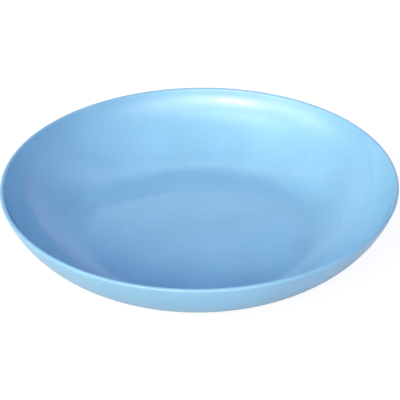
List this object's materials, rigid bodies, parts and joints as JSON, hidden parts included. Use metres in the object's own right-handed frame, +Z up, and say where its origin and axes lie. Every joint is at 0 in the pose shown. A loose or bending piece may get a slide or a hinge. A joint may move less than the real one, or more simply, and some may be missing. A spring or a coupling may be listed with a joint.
{
  "type": "round shallow dish",
  "caption": "Round shallow dish in one piece: near-flat floor, wall that steepens along one arc to a rounded lip, low foot ring underneath.",
  "frame": {"origin": "centre of the foot ring, on the surface that the dish stands on", "axes": "+Z up along the dish's axis of revolution; X and Y lie in the plane of the table and are alike"},
  "size_m": [0.22, 0.22, 0.04],
  "materials": {
    "blue_plastic": "gloss"
  },
  "bodies": {
    "root": {"dish": "blue_plastic"}
  },
  "joints": []
}
